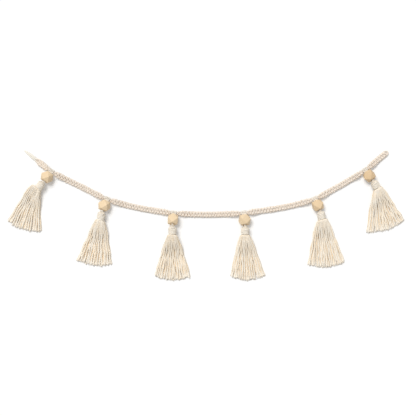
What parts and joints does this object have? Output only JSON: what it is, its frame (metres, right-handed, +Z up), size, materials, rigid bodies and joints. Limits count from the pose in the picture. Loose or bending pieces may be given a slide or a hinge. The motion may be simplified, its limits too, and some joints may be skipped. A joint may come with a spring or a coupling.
{
  "type": "macrame garland",
  "caption": "Macrame garland of knotted cotton cord with hanging tassels and faceted wooden beads, laid flat.",
  "frame": {"origin": "middle of the overall outline, on the surface that the garland lies on", "axes": "+X along the band towards its folded end, +Y from the tassels towards the band, +Z up from the surface"},
  "size_m": [0.7338, 0.2413, 0.0246],
  "materials": {
    "cotton_cord": "matte spun cotton",
    "knot_cord": "matte knotted cotton",
    "maple_wood": "sanded, unvarnished"
  },
  "bodies": {
    "section_1": {"knots_1_left": "knot_cord", "knots_1_right": "knot_cord", "filler_cord_1_upper": "cotton_cord", "filler_cord_1_lower": "cotton_cord"},
    "hitch_1": {"hanging_cord_1": "cotton_cord"},
    "bead_1": {"bead_1": "maple_wood"},
    "tassel_1": {"neck_wrap_1": "cotton_cord", "tassel_1": "cotton_cord"},
    "section_2": {"knots_2_left": "knot_cord", "knots_2_right": "knot_cord", "filler_cord_2_upper": "cotton_cord", "filler_cord_2_lower": "cotton_cord"},
    "hitch_2": {"hanging_cord_2": "cotton_cord"},
    "bead_2": {"bead_2": "maple_wood"},
    "tassel_2": {"neck_wrap_2": "cotton_cord", "tassel_2": "cotton_cord"},
    "section_3": {"knots_3_left": "knot_cord", "knots_3_right": "knot_cord", "filler_cord_3_upper": "cotton_cord", "filler_cord_3_lower": "cotton_cord"},
    "hitch_3": {"hanging_cord_3": "cotton_cord"},
    "bead_3": {"bead_3": "maple_wood"},
    "tassel_3": {"neck_wrap_3": "cotton_cord", "tassel_3": "cotton_cord"},
    "section_4": {"knots_4_left": "knot_cord", "knots_4_right": "knot_cord", "filler_cord_4_upper": "cotton_cord", "filler_cord_4_lower": "cotton_cord"},
    "hitch_4": {"hanging_cord_4": "cotton_cord"},
    "bead_4": {"bead_4": "maple_wood"},
    "tassel_4": {"neck_wrap_4": "cotton_cord", "tassel_4": "cotton_cord"},
    "section_5": {"knots_5_left": "knot_cord", "knots_5_right": "knot_cord", "filler_cord_5_upper": "cotton_cord", "filler_cord_5_lower": "cotton_cord"},
    "hitch_5": {"hanging_cord_5": "cotton_cord"},
    "bead_5": {"bead_5": "maple_wood"},
    "tassel_5": {"neck_wrap_5": "cotton_cord", "tassel_5": "cotton_cord"},
    "section_6": {"knots_6_left": "knot_cord", "knots_6_right": "knot_cord", "filler_cord_6_upper": "cotton_cord", "filler_cord_6_lower": "cotton_cord", "starting_fold": "cotton_cord"},
    "hitch_6": {"hanging_cord_6": "cotton_cord"},
    "bead_6": {"bead_6": "maple_wood"},
    "tassel_6": {"neck_wrap_6": "cotton_cord", "tassel_6": "cotton_cord"},
    "tail": {"tail": "cotton_cord"}
  },
  "joints": [
    {"name": "band_bend_1", "type": "hinge", "parent": "section_2", "child": "section_1", "pos_m": [-0.23424, 0.05364, 0.003], "axis": [0, 0, 1], "range_deg": [-30, 30]},
    {"name": "band_bend_2", "type": "hinge", "parent": "section_3", "child": "section_2", "pos_m": [-0.1217, 0.01228, 0.003], "axis": [0, 0, -1], "range_deg": [-30, 30]},
    {"name": "band_bend_3", "type": "hinge", "parent": "section_3", "child": "section_4", "pos_m": [0.00519, 0.0004, 0.003], "axis": [0, 0, -1], "range_deg": [-30, 30]},
    {"name": "band_bend_4", "type": "hinge", "parent": "section_4", "child": "section_5", "pos_m": [0.13627, 0.01253, 0.003], "axis": [0, 0, 1], "range_deg": [-30, 30]},
    {"name": "band_bend_5", "type": "hinge", "parent": "section_5", "child": "section_6", "pos_m": [0.24811, 0.05396, 0.003], "axis": [0, 0, -1], "range_deg": [-30, 30]},
    {"name": "tail_swing", "type": "hinge", "parent": "section_1", "child": "tail", "pos_m": [-0.31331, 0.10146, 0.0031], "axis": [0, 0, 1], "range_deg": [-45, 45]},
    {"name": "tassel_flap_1", "type": "hinge", "parent": "section_1", "child": "hitch_1", "pos_m": [-0.28514, 0.08047, 0.0082], "axis": [0.8349, -0.5504, 0], "range_deg": [-90, 75]},
    {"name": "bead_spin_1", "type": "hinge", "parent": "hitch_1", "child": "bead_1", "pos_m": [-0.29244, 0.06939, 0.012], "axis": [-0.5291, -0.8025, 0.2756], "continuous": true},
    {"name": "tassel_swing_1", "type": "hinge", "parent": "hitch_1", "child": "tassel_1", "pos_m": [-0.2972, 0.06217, 0.01448], "axis": [0, 0, -1], "range_deg": [-15, 15]},
    {"name": "tassel_flap_2", "type": "hinge", "parent": "section_2", "child": "hitch_2", "pos_m": [-0.18215, 0.02916, 0.0082], "axis": [0.9329, -0.3602, 0], "range_deg": [-90, 75]},
    {"name": "bead_spin_2", "type": "hinge", "parent": "hitch_2", "child": "bead_2", "pos_m": [-0.18693, 0.01679, 0.012], "axis": [-0.3463, -0.8967, 0.2756], "continuous": true},
    {"name": "tassel_swing_2", "type": "hinge", "parent": "hitch_2", "child": "tassel_2", "pos_m": [-0.19004, 0.00872, 0.01448], "axis": [0, 0, 1], "range_deg": [-15, 15]},
    {"name": "tassel_flap_3", "type": "hinge", "parent": "section_3", "child": "hitch_3", "pos_m": [-0.05953, 0.00334, 0.00623], "axis": [0.9956, -0.0941, 0], "range_deg": [-79, 86]},
    {"name": "bead_spin_3", "type": "hinge", "parent": "hitch_3", "child": "bead_3", "pos_m": [-0.06069, -0.0089, 0.0125], "axis": [-0.0839, -0.8871, 0.454], "continuous": true},
    {"name": "tassel_swing_3", "type": "hinge", "parent": "hitch_3", "child": "tassel_3", "pos_m": [-0.06144, -0.01688, 0.01658], "axis": [0, 0, -1], "range_deg": [-15, 15]},
    {"name": "tassel_flap_4", "type": "hinge", "parent": "section_4", "child": "hitch_4", "pos_m": [0.06991, 0.00361, 0.0082], "axis": [0.9956, 0.0934, 0], "range_deg": [-90, 75]},
    {"name": "bead_spin_4", "type": "hinge", "parent": "hitch_4", "child": "bead_4", "pos_m": [0.07115, -0.0096, 0.012], "axis": [0.0898, -0.9571, 0.2756], "continuous": true},
    {"name": "tassel_swing_4", "type": "hinge", "parent": "hitch_4", "child": "tassel_4", "pos_m": [0.07196, -0.01821, 0.01448], "axis": [0, 0, 1], "range_deg": [-15, 15]},
    {"name": "tassel_flap_5", "type": "hinge", "parent": "section_5", "child": "hitch_5", "pos_m": [0.20082, 0.02991, 0.0082], "axis": [0.9258, 0.3779, 0], "range_deg": [-94, 71]},
    {"name": "bead_spin_5", "type": "hinge", "parent": "hitch_5", "child": "bead_5", "pos_m": [0.20592, 0.01741, 0.01107], "axis": [0.3696, -0.9056, 0.2079], "continuous": true},
    {"name": "tassel_swing_5", "type": "hinge", "parent": "hitch_5", "child": "tassel_5", "pos_m": [0.20925, 0.00926, 0.01294], "axis": [0, 0, -1], "range_deg": [-15, 15]},
    {"name": "tassel_flap_6", "type": "hinge", "parent": "section_6", "child": "hitch_6", "pos_m": [0.2929, 0.08242, 0.0082], "axis": [0.809, 0.5879, 0], "range_deg": [-90, 75]},
    {"name": "bead_spin_6", "type": "hinge", "parent": "hitch_6", "child": "bead_6", "pos_m": [0.3007, 0.07168, 0.012], "axis": [0.5651, -0.7776, 0.2756], "continuous": true},
    {"name": "tassel_swing_6", "type": "hinge", "parent": "hitch_6", "child": "tassel_6", "pos_m": [0.30579, 0.06469, 0.01448], "axis": [0, 0, 1], "range_deg": [-15, 15]}
  ]
}
